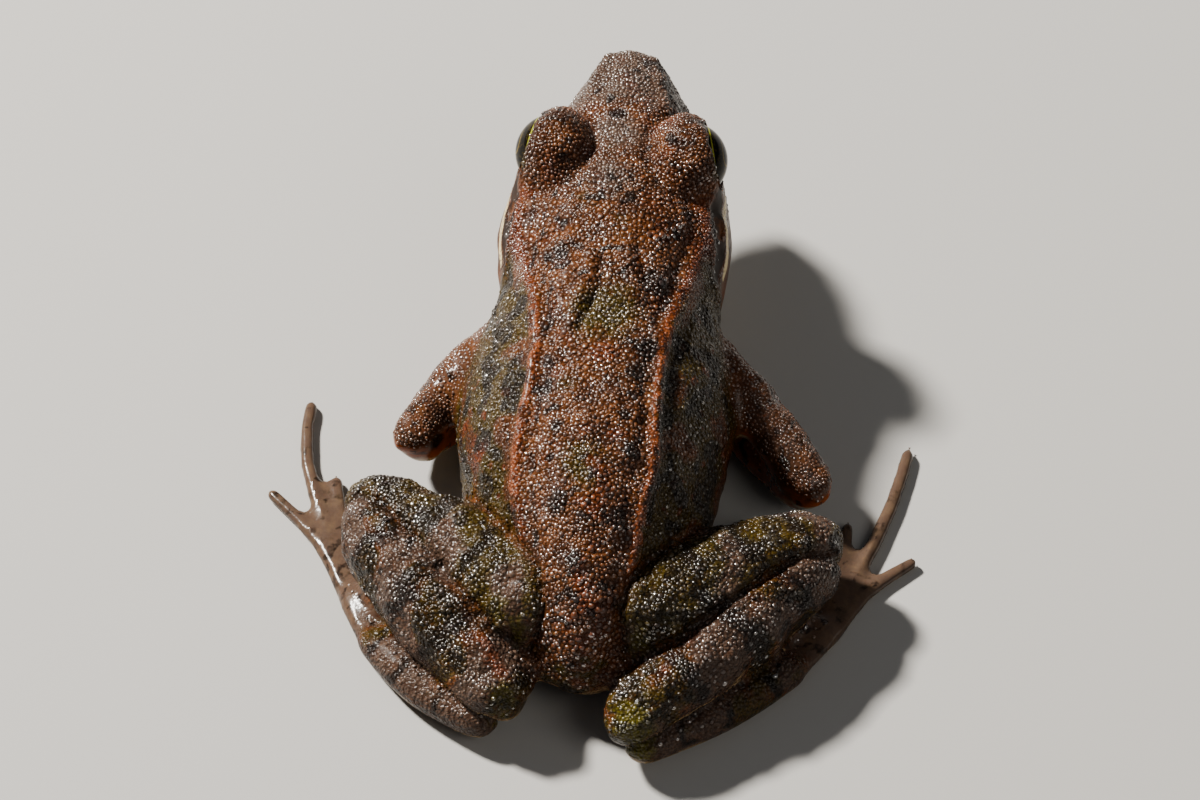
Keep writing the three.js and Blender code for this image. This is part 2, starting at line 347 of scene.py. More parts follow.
body = part("trunk", "head", "lower_jaw")
head_part = part("head", "lower_jaw")
top = step(0.05, 0.4, n[:, 2])
x, y, z = p.T.copy()

LEFT_FOLD = (
    (-9.4, 4.75), (-8.5, 5.0), (-7.4, 5.02), (-6.4, 4.92), (-4.9, 4.53), (-3.3, 3.98), (-1.9, 3.65),
    (-0.3, 3.46), (0.6, 3.33), (1.5, 3.35), (2.7, 3.4), (4.1, 3.53), (5.4, 3.67), (6.6, 3.77),
    (8.0, 3.75), (9.0, 3.52), (10.0, 3.29), (11.1, 3.19), (13.2, 2.97),
)  # places along the body, each with how far the fold is from the middle
RIGHT_FOLD = (
    (-9.1, -4.2), (-8.5, -4.5), (-7.0, -4.66), (-5.2, -4.22), (-3.9, -3.89), (-2.3, -3.5),
    (-0.8, -3.06), (0.0, -3.02), (0.7, -2.91), (2.1, -2.92), (3.7, -2.88), (5.0, -2.93),
    (7.5, -2.93), (8.8, -2.58), (10.7, -2.43), (12.6, -2.2),
)
left_line = np.interp(y, *zip(*LEFT_FOLD))
right_line = np.interp(y, *zip(*RIGHT_FOLD))
fold_place = (-9.4, -7.0, -2.0, 0.1, 0.5, 1.0, 6.0, 11.0, 13.4)
fold_height = np.interp(y, fold_place, (0.0, 0.2, 0.26, 0.22, 0.06, 0.32, 0.3, 0.24, 0.0))
fold_width = np.interp(y, fold_place, (0.55, 0.5, 0.4, 0.34, 0.32, 0.29, 0.28, 0.28, 0.26))
fold_run = step(-9.6, -8.4, y) * (1 - step(12.6, 13.6, y))
fold = np.zeros(len(p))
gutter = np.zeros(len(p))
for line in (left_line, right_line):
    aside = np.abs(x - line)
    fold = most(fold, on_top(np.exp(-((aside / fold_width) ** 3))) * fold_run)
    gutter = most(gutter, on_top(bell(aside - 0.75, 0.28)) * fold_run)

LEFT_RIDGE = ((1.13, -4.5), (1.07, -2.9), (1.34, -1.9), (1.67, -1.1), (1.95, -0.2))
RIGHT_RIDGE = ((-0.79, -4.9), (-1.2, -2.9), (-1.65, -2.1), (-2.23, -1.1), (-2.56, -0.1))
FURROW_ASIDE = (-0.62, 0.1, 0)  # where the furrow runs beside its ridge
chevron = np.zeros(len(p))
furrow = np.zeros(len(p))
for path, depth in ((LEFT_RIDGE, 1.0), (RIGHT_RIDGE, 0.5)):
    chevron = most(chevron, on_top(bell(span(p, path), 0.42)))
    furrow = most(furrow, on_top(depth * bell(span(p - np.array(FURROW_ASIDE), path), 0.24)))

wart = on_top(spots(
    (2.43, 1.78, 0.55, 1), (-1.72, 2.12, 0.6, 1), (1.76, 5.68, 0.5, 1), (-1.62, 6.58, 0.5, 1),
    (-0.7, -4.69, 0.45, 1), (1.12, 3.75, 0.4, 1), (-0.44, 7.9, 0.4, 1), (-1.58, 9.91, 0.45, 1),
    (1.41, 9.31, 0.45, 1), (2.09, 10.0, 0.35, 1), (0.46, 11.95, 0.4, 1), (2.3, -5.3, 0.4, 1),
    (-2.5, -3.4, 0.4, 1), (0.3, 5.2, 0.35, 1), (-2.0, 4.4, 0.4, 1),
))

LUMPS = 420  # small warts strewn over the body and limbs
dice = np.random.default_rng(41)
rough_parts = part("trunk", "thigh", "shank", "upper_arm")
lump = np.zeros(len(p))
for i in dice.choice(np.flatnonzero((rough_parts > 0.7) & (n[:, 2] > -0.3)), LUMPS, replace=False):
    size = dice.uniform(0.22, 0.5)
    lump = most(lump, bell(gap_to(p[i]), size) * size * 2)

NOSTRIL = (1.45, -17.9, 10.7)
EAR = (5.6, -8.5, 9.95)
EAR_RADIUS = 0.72
SNOUT_RIDGE = ((2.2, -14.5, 11.8), (2.1, -15.6, 11.5), (1.72, -17.0, 11.3), (1.2, -18.5, 10.8))
SNOUT_HOLLOW = ((4.2, -14.2, 10.3), (3.0, -16.4, 10.1), (2.2, -18.0, 9.8))
nostril = np.zeros(len(p))
nostril_rim = np.zeros(len(p))
ear = np.zeros(len(p))
ear_rim = np.zeros(len(p))
snout_ridge = np.zeros(len(p))
hollow = np.zeros(len(p))
lid_dome = np.zeros(len(p))
lid_furrow = np.zeros(len(p))
for side in SIDES:
    gap = gap_to(closest(mirrored(NOSTRIL, side)))
    nostril = most(nostril, bell(gap, 0.26))
    nostril_rim = most(nostril_rim, bell(gap - 0.45, 0.18))
    gap = gap_to(closest(mirrored(EAR, side)))
    ear = most(ear, 1 - step(0.5, EAR_RADIUS, gap))
    ear_rim = most(ear_rim, bell(gap - EAR_RADIUS, 0.15))
    oval = np.hypot((x * side - 3.5) / 2.0, (y + 11.6) / 2.6)
    lid_dome = most(lid_dome, (1 - step(0.4, 1.0, oval)) * top * head_part)
    lid_furrow = most(lid_furrow, bell(oval - 1.1, 0.16) * top * head_part * step(5.0, 3.8, x * side))
    path = [mirrored(point, side) for point in SNOUT_RIDGE]
    snout_ridge = most(snout_ridge, bell(span(p, path, False), 0.4))
    path = [mirrored(point, side) for point in SNOUT_HOLLOW]
    hollow = most(hollow, bell(span(p, path, False), 0.9))

# The mouth runs from the tip of the snout to below the ear.
mouth_level = np.interp(y, (-19.9, -8.1), (8.7, 7.0))
in_mouth = head_part * (1 - step(-8.4, -7.7, y))
mouth = bell(z - mouth_level, 0.13) * in_mouth * step(-0.2, 0.1, 0.6 - np.abs(n[:, 2]))
lip = bell(z - mouth_level - 0.4, 0.25) * in_mouth

# A cream line starts under the eye and runs back along the jaw to the shoulder.
STRIPE = (
    (-14.6, 8.4, 0.1), (-14.0, 8.47, 0.15), (-13.0, 8.62, 0.16), (-12.0, 8.82, 0.18), (-11.0, 9.06, 0.23),
    (-10.3, 9.22, 0.3), (-9.7, 9.24, 0.36), (-9.2, 9.05, 0.42), (-8.7, 8.7, 0.45), (-8.2, 8.38, 0.43),
    (-7.6, 8.12, 0.36), (-7.0, 7.9, 0.25), (-6.3, 7.72, 0.12),
)  # places along the head, each with the line's height and half its width
stripe_place, stripe_height, stripe_half = zip(*STRIPE)
stripe_z = np.interp(y, stripe_place, stripe_height)

# Over the ear a fold of skin runs down from the eye to the arm.
ear_fold_z = np.interp(y, (-10.4, -9.4, -7.6, -6.2, -4.9), (11.1, 10.9, 10.35, 9.2, 7.6))
ear_fold = bell(z - ear_fold_z, 0.32) * step(-10.2, -9.4, y) * (1 - step(-5.6, -4.6, y))
ear_fold *= body * step(0.45, 0.75, np.abs(n[:, 0]))

PRESSED = (("thigh", "shank"), ("shank", "tarsus"), ("thigh", "trunk"))
pressed = most(*(touching(a, b, 0.24, 0.55) for a, b in PRESSED))

soft_parts = part("trunk", "thigh", "shank", "upper_arm", "forearm") + 0.5 * head_part
wave = grain(1.7, 1) * 0.07 + grain(0.8, 2) * 0.045
wave *= 1 + 0.7 * part("thigh", "shank")
wave += 0.12 * grain(3.3, 6) * part("thigh", "shank")
# Each form stands above the hide, or sinks below it, by this many millimetres.
height = 1.1 * fold_height * fold - 0.08 * gutter
height += 0.15 * chevron - 0.17 * furrow
height += 0.21 * wart + 0.1 * lump + soft_parts * wave * (1 - 0.6 * fold)
height += 0.07 * nostril_rim - 0.34 * nostril
height += 0.07 * ear_rim - 0.07 * ear
height += 0.2 * snout_ridge - 0.3 * hollow
height += 0.07 * lip - 0.17 * mouth + 0.16 * ear_fold
height += 0.24 * lid_dome - 0.34 * lid_furrow
height -= 0.42 * pressed
height *= 1 - 0.8 * lid_edge
height += (0.12 + 0.38 * bell(x - 0.2, 1.3)) * step(-17.8, -19.6, y)
p = p + height[:, None] * n

# Both corners of each lid are smoothed and the front one is rounded off, clear of the eyeball.
FRONT_CORNER = (4.45, -13.0, 13.1)
BACK_CORNER = (5.25, -9.75, 11.4)
CORNER_MOVE = (-0.15, 0.45, -0.3)
for side in SIDES:
    pull = bell(gap_to(mirrored(FRONT_CORNER, side)), 0.8)
    p = p + pull[:, None] * mirrored(CORNER_MOVE, side)
    pull = most(pull, bell(gap_to(mirrored(BACK_CORNER, side)), 0.6))
    for k in range(5):
        p = relax(p, EASE * pull[:, None])
    centre = mirrored(EYE_CENTRE, side)
    reach = gap_to(centre)
    outside = np.maximum(reach, EYE_RADIUS + 0.06) / reach
    skirt = (pull > 0.02) & (reach > EYE_RADIUS - 0.25)
    p = np.where(skirt[:, None], centre + (p - centre) * outside[:, None], p)

# The snout narrows towards its tip, and nothing sinks into the ground.
p[:, 0] *= 1 - 0.075 * head_part * step(-12.6, -14.8, y) * (1 - 0.6 * step(-17.0, -19.0, y))
p[:, 2] = np.maximum(p[:, 2], 0)
put(skin.data, p)
n = outward(skin.data)
x, y, z = p.T.copy()

# ---- Markings and the hide's finish ----
# The frog is rusty brown above, with an olive flank, dark bars on the limbs, a dark patch over the
# ear and a cream line along the lip. Painted shade in hollows and creases, and painted highlight and
# light in a few places, lie among the markings. Skin and beads read the same markings, kept on every
# vertex.

marks = {}
upward = n[:, 2]
blotch = grain(2.4, 11)
mottle = grain(1.1, 12)
speck = grain(0.55, 13)
trunk_part = part("trunk")
limb_part = part("thigh", "shank", "upper_arm", "forearm", "tarsus", "hand", "foot")
between_folds = step(-0.15, 0.3, left_line - x) * step(-0.15, 0.3, x - right_line)
back = body * between_folds * step(0.1, 0.45, upward)
under = 1 - step(-0.55, -0.05, upward + 0.15 * mottle)
flank = trunk_part * (1 - back) * (1 - under)
sideways = step(0.35, 0.65, np.abs(n[:, 0])) * (1 - step(0.55, 0.8, upward))
head_side = head_part * (1 - step(0.05, 0.35, upward))

# Rust: the folds, the crown, streaks down the back, the shanks' edge and flecks on the flank.
SHANK_EDGE = ((6.9, 11.4, 0), (5.7, 13.2, 0), (4.6, 14.9, 0), (3.8, 16.2, 0))
fold_sides = np.minimum(np.abs(x - left_line), np.abs(x - right_line))
seam = 0.66 * bell(fold_sides, np.interp(y, (-8, -3, 0, 14), (0.5, 0.44, 0.36, 0.34))) * top * body
seam *= step(-9.8, -8.8, y) * (1 - step(12.9, 13.8, y))
crown = on_top(spots(
    (4.6, -8.9, 0.7, 0.6), (-4.3, -8.8, 0.8, 0.6), (4.3, -6.2, 0.9, 0.45), (4.1, -4.4, 0.8, 0.5),
    (-3.9, -6.6, 0.9, 0.5), (2.2, -12.9, 0.9, 0.5), (-2.1, -12.7, 1.0, 0.6), (-2.4, -10.4, 0.8, 0.5),
    (3.6, -9.6, 0.7, 0.6),
))
streaks = step(-0.15, 0.45, mottle + 0.5 * blotch) * bell(x + 0.15 - 0.3 * blotch, 1.5)
rust = most(
    seam,
    crown,
    0.6 * streaks * step(-0.6, 1.2, y) * back,
    0.4 * step(0.0, 0.6, mottle) * back,
    spots((5.71, 5.18, 0.5, 1.0), (6.74, 3.0, 0.45, 0.8), (6.1, 4.2, 0.35, 0.7)) * flank,
    0.6 * step(0.65, 0.9, speck + 0.3 * blotch) * flank,
    0.5 * ear_fold,
)
for side in SIDES:
    margin = [mirrored(point, side) for point in SHANK_EDGE]
    rust = most(rust, 0.6 * bell(span(p, margin), 0.62) * part("shank") * step(0, 0.4, upward))
marks["rust"] = rust
# Crest: a lighter line along the rear of each fold, partly its own colour and partly a painted highlight;
# on the upper arms' tops it is painted sheen.
crest = fold * step(-3.5, -0.5, y) * step(-0.6, 0.3, speck + 0.3)
marks["crest"] = most(0.8 * crest, 0.3 * part("upper_arm") * step(0.1, 0.6, upward + 0.3 * blotch))

# Olive: patches down the middle, the outer rim of the lids, the flank and the hind legs.
olive = spots(
    (0.1, -1.2, 2.0, 1.0), (0.5, 7.6, 1.5, 0.8), (1.6, 3.2, 1.0, 0.5), (-0.4, -6.0, 1.2, 0.45),
    (0.2, -10.5, 1.5, 0.35), (1.6, -7.6, 1.2, 0.45), (-1.7, -9.4, 1.1, 0.4),
)
shoulder = step(-8.0, -6.2, y) * (1 - step(-1.0, 1.0, y)) * step(0.3, 0.9, fold_sides)
olive = most(
    olive * np.maximum(back, head_part * top),
    0.9 * flank * step(-0.9, 0.2, blotch + 0.4 * mottle + 0.2),
    0.85 * part("thigh") * step(-0.5, 0.5, blotch + 0.5),
    0.7 * part("shank", "tarsus") * step(-0.3, 0.4, blotch + 0.4 * mottle),
    0.8 * trunk_part * shoulder * (1 - back),
)
for side in SIDES:
    arm = p - mirrored(EYE_CENTRE, side)
    lid_rim = bell(np.linalg.norm(arm, axis=1) - 2.2, 0.4)
    olive = most(olive, 0.75 * lid_rim * step(0.2, 0.8, arm[:, 2]) * step(1.0, 1.5, arm[:, 0] * side))
marks["olive"] = olive

# Lime: behind the thighs and on the heels.
lime = spots(
    (4.3, 13.4, 0.8, 0.5), (3.2, 14.2, 0.8, 0.6), (2.3, 14.6, 0.8, 0.5), (5.9, 7.0, 0.9, 0.4),
    (-4.3, 13.6, 0.8, 0.5), (-3.0, 14.4, 0.8, 0.6), (-5.9, 7.4, 0.9, 0.4),
)
lime = most(lime * (1 - part("shank")), spots((3.6, 17.2, 1.0, 0.6), (-2.8, 18.2, 1.3, 0.9)))
marks["lime"] = lime * (1 - back) * step(-0.5, 0.2, upward)


def bars(node, start, end, stations, half):
    """Dark bars across a limb, at these distances from its start."""
    way = unit(np.array(end) - start)
    along = (p - start) @ way + 0.45 * mottle + 0.3 * blotch
    found = most(*(bell(along - station, half) for station in stations))
    return found * share[node] * step(-0.25, 0.15, upward)


stripe_width = np.interp(y, stripe_place, stripe_half)
stripe_width *= step(-15.8, -14.6, y) * (1 - step(-6.7, -6.1, y)) * body * step(0.3, 0.45, np.abs(n[:, 0]))
stripe_off = np.abs(z - stripe_z - 0.04 * mottle) / np.maximum(stripe_width, 0.02)
stripe_off = np.where(stripe_width > 0.1, stripe_off, 9)
stripe = bell(stripe_off, 1.2)
marks["stripe_off"] = 0.5 * stripe_off

# The dark patch lies between the cream line and the fold over the ear.
over_line = step(0.35, 0.55, z - stripe_z + 0.1 * speck)
under_fold = 1 - step(-0.15, 0.25, z - ear_fold_z + 0.2 * speck)
ear_mask = over_line * under_fold * step(-10.6, -10.0, y) * (1 - step(-5.6, -4.8, y)) * sideways
EYE_LINE = ((4.2, -14.0, 11.0), (2.9, -16.4, 10.9), (1.6, -18.2, 10.5))
eye_line = np.zeros(len(p))
socket = np.zeros(len(p))
round_eye = np.zeros(len(p))
for side in SIDES:
    path = [mirrored(point, side) for point in EYE_LINE]
    eye_line = most(eye_line, bell(span(p, path, False), 0.5))
    reach = gap_to(mirrored(EYE_CENTRE, side))
    socket = most(socket, 1 - step(2.1, 2.22, reach))
    round_eye = most(round_eye, 1 - step(2.7, 3.1, reach))

# Dark: spots on the back, mottling, bars on the limbs and the patch; and painted shade in the furrow,
# the gutters, the nostrils, the mouth and the limbs' creases, on the lids and round the eyes.
ELBOW_SPOT = (8.42, 1.18, 3.0)
dark = spots(
    (0.8, -7.72, 0.4, 0.8), (-0.71, -7.85, 0.42, 0.85), (-3.16, -6.42, 0.4, 0.7), (-2.3, -3.2, 0.9, 0.8),
    (2.6, 1.9, 0.7, 0.6), (-1.8, 2.2, 0.75, 0.75), (1.9, 5.6, 0.6, 0.6), (-1.9, 6.6, 0.7, 0.7),
    (2.7, 3.6, 0.9, 0.6), (-2.2, 0.6, 0.9, 0.75), (1.5, 9.3, 0.7, 0.75), (-1.5, 9.9, 0.7, 0.7),
    (0.5, 11.9, 0.6, 0.7), (2.6, -4.6, 0.8, 0.6), (0.2, -13.6, 0.6, 0.6), (1.8, 1.3, 0.6, 0.5),
)
dark = most(
    1.3 * dark * back,
    # Painted shade in the furrow beside the chevron's ridges and in the gutters beside the folds.
    0.6 * furrow,
    0.65 * gutter * step(-0.2, 0.4, mottle + 0.2),
    0.75 * step(0.55, 0.85, speck + 0.45 * blotch) * back,
    0.72 * step(-0.2, 0.5, mottle + 0.3 * blotch) * flank,
    spots((4.5, 2.3, 0.9, 0.6), (5.6, -2.2, 0.8, 0.6), (5.2, 0.8, 0.7, 0.5)) * flank,
    0.6 * step(0.45, 0.75, speck + 0.3 * blotch) * limb_part,
    0.62 * step(-0.2, 0.4, mottle + 0.5 * blotch) * part("thigh", "shank"),
    bell(gap_to(ELBOW_SPOT), 0.55),
)
BARRED = (
    ("thigh_left", (11.1, 5.9, 3.5), (3.0, 11.6, 4.4), (0.7, 4.1, 7.4), 0.75),
    ("thigh_right", (-10.9, 6.8, 3.6), (-3.0, 11.8, 4.4), (0.7, 4.0, 7.2), 0.75),
    ("shank_left", (10.9, 6.9, 3.4), (3.9, 16.0, 2.6), (1.9, 5.2, 8.4), 0.8),
    ("shank_right", (-10.8, 7.8, 3.4), (-2.6, 17.2, 2.6), (2.0, 5.6, 9.3), 0.8),
    ("tarsus_left", (4.9, 16.8, 1.35), (10.6, 12.4, 0.85), (1.6, 4.4, 6.6), 0.5),
    ("tarsus_right", (-3.4, 17.7, 1.35), (-10.4, 12.5, 0.85), (1.6, 4.4, 7.2), 0.5),
    ("foot_left", (10.6, 12.4, 0.85), (15.4, -2.8, 0.4), (1.6, 4.2, 6.9, 9.8, 12.6), 0.42),
    ("foot_right", (-10.4, 12.5, 0.85), (-15.6, -2.1, 0.4), (1.6, 4.2, 6.9, 9.8, 12.6), 0.42),
    ("upper_arm_left", (4.6, -3.7, 6.1), (9.6, 0.7, 2.7), (5.6,), 0.45),
    ("upper_arm_right", (-4.5, -3.5, 6.0), (-10.7, 2.3, 2.6), (5.8,), 0.45),
    ("forearm_left", (9.4, 0.6, 2.3), (6.4, -2.6, 1.15), (1.2, 3.2), 0.4),
    ("forearm_right", (-10.4, 2.0, 2.2), (-6.9, -1.7, 1.15), (1.2, 3.4), 0.4),
)  # each limb with its start, its end, its bars' distances from the start and half a bar's width
for limb in BARRED:
    strength = 0.5 if kind_of(limb[0]) in ("foot", "upper_arm") else 0.85
    dark = most(dark, strength * bars(*limb))
dark = most(
    dark,
    # Dark mottling over the head is the head's own; the extra darkness on the lid domes is painted shade.
    (0.4 + 0.2 * lid_dome) * head_part * step(-1.0, 0.2, mottle + 0.4 * speck),
    0.75 * ear_mask * (1 - 0.45 * ear),
    0.8 * eye_line,
    # Painted shade in the nostrils, along the mouth and in the creases where limbs press together.
    0.95 * nostril,
    0.9 * mouth,
    0.6 * pressed,
)
dark *= 1 - 0.85 * under
# Painted shade in the crease round each eye, at the lids' edge and on the skin under the eye.
marks["dark"] = most(dark, 0.6 * round_eye * (upward < -0.1), socket, 0.75 * lid_edge)

# Grey: the snout and the middle of the head, a veil over the limbs, and painted sheen on the upper arms'
# tops. Pale: the underside.
grey = most(step(-13.0, -15.5, y) * 0.8, spots((0.2, -12.2, 1.7, 0.9), (0.5, -9.0, 2.0, 0.7))) * head_part
grey = most(grey * (1 - lid_dome), 0.25 * lid_dome)
grey = most(
    grey * step(0.0, 0.4, upward),
    # Painted sheen: the upper arms are greyer on top.
    0.5 * part("upper_arm") * step(0.1, 0.6, upward),
    part("foot") + 0.5 * part("hand"),
)
marks["grey"] = most(grey, 0.75 * part("shank", "tarsus", "thigh") * step(0.7, -0.2, blotch))
pale = most(
    under * (1 - 0.3 * step(0.0, 0.6, mottle)),
    0.2 * bell(z - 8.3, 0.8) * head_part * sideways,
    0.25 * part("foot", "hand"),
)
marks["pale"] = pale * (1 - stripe) * (1 - round_eye)

# Warm: the orange of the forearms and the arms' undersides, strongest at the elbow; partly the thin skin's
# own orange, partly painted light shining through it.
warm = part("forearm") * (1 - 0.35 * step(0.3, 0.8, upward + 0.3 * mottle)) + 0.6 * part("hand")
warm *= 0.5 + 0.5 * step(-3.0, -0.6, y)
marks["warm"] = most(
    warm,
    0.8 * part("upper_arm") * (1 - step(-0.2, 0.6, upward)),
    0.25 * part("upper_arm"),
)

# How thickly the beads stand: all over the back and crown, thinner on the limbs and flanks.
bead_field = back * (0.6 + 0.4 * step(-0.7, 0.1, grain(0.7, 16))) * (1 - head_part)
crown_field = (0.85 - 0.25 * lid_dome) * head_part * step(0.05, 0.35, upward) * (1 - ear_mask)
bead_field = most(bead_field, crown_field, fold * (1 - step(-3.5, -1.5, y)))
bead_field *= 1 - 0.95 * fold * step(-3.5, -1.5, y)
patchy = 0.12 + 0.75 * step(-0.35, 0.35, grain(0.8, 15) + 0.4 * mottle)
bead_field = most(
    bead_field,
    patchy * part("thigh", "shank") * step(0.1, 0.5, upward + 0.2 * blotch),
    0.26 * flank * step(0.0, 0.5, upward + 0.2 * mottle),
    0.85 * part("upper_arm") * step(0.15, 0.45, upward),
)
jaw_side = body * step(-11.5, -10.5, y) * (1 - step(-5.8, -5.0, y)) * step(4.4, 4.9, np.abs(x))
bead_field *= 1 - jaw_side * (1 - step(0.45, 0.6, z - stripe_z))
bead_field *= (1 - step(0.5, 0.9, lid_edge)) * (1 - nostril) * (1 - 0.8 * pressed)
bead_field *= (1 - socket) * (1 - mouth) * (1 - step(0.2, 0.5, stripe))
BARE_CORNER = (4.45, -13.05, 12.9)  # of the lids, in front
for side in SIDES:
    arm = p - mirrored(EYE_CENTRE, side)
    bead_field *= 1 - step(3.2, 2.7, np.linalg.norm(arm, axis=1)) * step(0.5, -0.1, arm[:, 2])
    bead_field *= 1 - step(0.7, 0.45, gap_to(mirrored(BARE_CORNER, side)))
marks["bead_field"] = bead_field

# Where the hide has no granules, where it hardly shines, and where water lies on it in a film.
marks["smooth"] = most(part("upper_arm", "forearm", "hand", "foot"), head_side, lid_edge, ear_mask)
marks["matt"] = most(head_side, ear_mask)
wet_limbs = 0.6 * part("forearm", "hand", "foot") + 0.2 * part("upper_arm")
marks["film"] = most(wet_limbs, fold * step(-3.5, -1.5, y))


def keep(mesh, name, values):
    """Writes a value on every vertex for the finish to read."""
    layer = mesh.attributes.new(name, "FLOAT", "POINT")
    layer.data.foreach_set("value", values.astype(np.float32))


for name, values in marks.items():
    keep(skin.data, name, np.clip(values, 0, 1))


class Wire:
    """A shader socket that can be reckoned with: each sum adds its Math node."""

    def __init__(self, finish, socket):
        self.finish = finish
        self.socket = socket

    def reckon(self, operation, a, b):
        return self.finish.node("ShaderNodeMath", {"operation": operation}, {0: a, 1: b})

    def __add__(self, other):
        return self.reckon("ADD", self, other)

    def __sub__(self, other):
        return self.reckon("SUBTRACT", self, other)

    def __rsub__(self, other):
        return self.reckon("SUBTRACT", other, self)

    def __mul__(self, other):
        return self.reckon("MULTIPLY", self, other)

    __radd__ = __add__
    __rmul__ = __mul__


class Finish:
    """A material that is built up node by node."""

    def __init__(self, name):
        self.material = bpy.data.materials.new(name)
        self.material.use_nodes = True
        self.tree = self.material.node_tree
        self.shader = self.tree.nodes["Principled BSDF"]

    def node(self, kind, settings=None, sockets=None, out=0):
        made = self.tree.nodes.new(kind)
        for name, value in (settings or {}).items():
            setattr(made, name, value)
        self.fill(made, sockets or {})
        return Wire(self, made.outputs[out])

    def fill(self, made, sockets):
        for name, value in sockets.items():
            if isinstance(value, Wire):
                self.tree.links.new(value.socket, made.inputs[name])
            else:
                made.inputs[name].default_value = value

    def mark(self, name):
        return self.node("ShaderNodeAttribute", {"attribute_name": name}, out="Fac")

    def noise(self, size, detail=3, rough=0.55):
        """Cloudy variation of about that size in millimetres, from 0 to 1."""
        place = self.node("ShaderNodeTexCoord", out="Object")
        sockets = {"Vector": place, "Scale": 1 / (size * MM), "Detail": detail, "Roughness": rough}
        return self.node("ShaderNodeTexNoise", sockets=sockets)

    def cells(self, size):
        """Distance from the middles of scattered cells of that size in millimetres."""
        place = self.node("ShaderNodeTexCoord", out="Object")
        sockets = {"Vector": place, "Scale": 1 / (size * MM)}
        return self.node("ShaderNodeTexVoronoi", {"feature": "F1"}, sockets, "Distance")

    def between(self, low, high, value):
        """0 below low and 1 above high, eased between them."""
        sockets = {"Value": value, "From Min": low, "From Max": high}
        return self.node("ShaderNodeMapRange", {"interpolation_type": "SMOOTHSTEP"}, sockets)

    def blend(self, amount, under_coat, over_coat, way="MIX"):
        settings = {"data_type": "RGBA", "blend_type": way}
        return self.node("ShaderNodeMix", settings, {0: amount, 6: under_coat, 7: over_coat}, 2)

    def bump(self, height, depth, normal=None):
        """A bump of that depth in millimetres."""
        sockets = {"Height": height, "Distance": depth * MM}
        if normal:
            sockets["Normal"] = normal
        return self.node("ShaderNodeBump", sockets=sockets)


def paint(*levels):
    """A colour from its everyday values of 0 to 255."""
    shares = [level / 255 for level in levels]
    linear = [c / 12.92 if c <= 0.04045 else ((c + 0.055) / 1.055) ** 2.4 for c in shares]
    return (*linear, 1)


BROWN = paint(56, 30, 13)
TAN = paint(85, 48, 20)
DARK = paint(15, 10, 8)
PALE = paint(138, 114, 79)
CREAM = paint(192, 174, 130)
TINTS = {
    "grey": paint(67, 53, 44),
    "olive": paint(51, 41, 8),
    "warm": paint(128, 57, 8),
    "rust": paint(85, 37, 13),
    "lime": paint(70, 64, 8),
    "crest": paint(112, 58, 28),
}  # the order in which they are laid over the brown
# Painted shade: the hide is darkened in the pits between its granules and in the gaps between its beads.
PAINTED_PIT_SHADE = paint(110, 70, 50)
PAINTED_BEAD_GAP_SHADE = paint(120, 70, 50)


def hide_colour(finish, ragged):
    """The markings, with the painted shade and highlights among them, laid over each other, with ragged
    edges.
    """
    cloud = (finish.noise(0.5, 4) - 0.5) * ragged
    fine = (finish.noise(0.16, 2) - 0.5) * (ragged * 0.5)
    colour = finish.blend(finish.between(0.35, 0.7, finish.noise(1.4, 3)), BROWN, TAN)
    for name, tint in TINTS.items():
        edge = finish.mark(name) + cloud + fine
        colour = finish.blend(finish.between(0.22, 0.72, edge) * 0.92, colour, tint)
    colour = finish.blend(finish.between(0.15, 0.85, finish.mark("pale") + cloud * 0.5), colour, PALE)
    edge = finish.mark("dark") + cloud + fine
    colour = finish.blend(finish.between(0.3, 0.7, edge) * 0.88, colour, DARK)
    return finish.blend(finish.between(0.5, 0.36, finish.mark("stripe_off")), colour, CREAM)


hide = Finish("wet_hide")
smooth = hide.mark("smooth")
granular = 1 - smooth
granules = hide.cells(0.2)
small_granules = hide.cells(0.12)
# Painted shade in the pits between the granules, and in the gaps where beads stand.
pit_shading = hide.between(0.3, 0.65, granules) * granular
colour = hide.blend(pit_shading * 0.55, hide_colour(hide, 0.8), PAINTED_PIT_SHADE, "MULTIPLY")
colour = hide.blend(hide.mark("bead_field") * 0.25, colour, PAINTED_BEAD_GAP_SHADE, "MULTIPLY")
skin_bump = hide.bump((1 - granules) * granular, 0.1)
skin_bump = hide.bump((1 - small_granules) * granular, 0.03, skin_bump)
skin_bump = hide.bump(hide.noise(0.6, 2) * (1 - smooth * 0.75), 0.06, skin_bump)
wet = hide.between(0.3, 0.7, hide.noise(1.0, 3))
hide.fill(hide.shader, {
    "Base Color": colour,
    "Roughness": 0.24 - 0.08 * wet + 0.45 * hide.mark("matt"),
    "Normal": skin_bump,
    "Coat Weight": hide.mark("film") * hide.between(0.35, 0.65, hide.noise(0.35, 2)) * 0.7,
    "Coat Roughness": 0.2,
    "Coat IOR": 1.3,
    "Specular IOR Level": 0.13,
    "Subsurface Weight": 0.06,
    "Subsurface Radius": (1.0, 0.4, 0.2),
    "Subsurface Scale": 0.0004,
})
skin.data.materials.clear()
skin.data.materials.append(hide.material)

skin.data.transform(Matrix.Scale(MM, 4))
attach(skin, "root")
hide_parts(*flesh)

# ---- Beads of the skin ----
# The skin above is paved with small glassy warts, packed side by side on the back and finer on the
# head and limbs. Each is a low dome sunk into the hide, and takes its colour from the place it is on.

bead_shape = bmesh.new()
bmesh.ops.create_uvsphere(bead_shape, u_segments=8, v_segments=4, radius=1)
bmesh.ops.triangulate(bead_shape, faces=bead_shape.faces)
bead_points = np.array([v.co[:] for v in bead_shape.verts])
bead_faces = np.array([[v.index for v in f.verts] for f in bead_shape.faces])
bead_shape.free()
ROOT_DEPTH = 0.4  # how far the under half reaches, beside the upper one
SINK = 0.3  # how deep a bead stands in the hide
bead_up = bead_points[:, 2]
bead_points[:, 2] = np.where(bead_up > 0, bead_up, bead_up * ROOT_DEPTH) - SINK

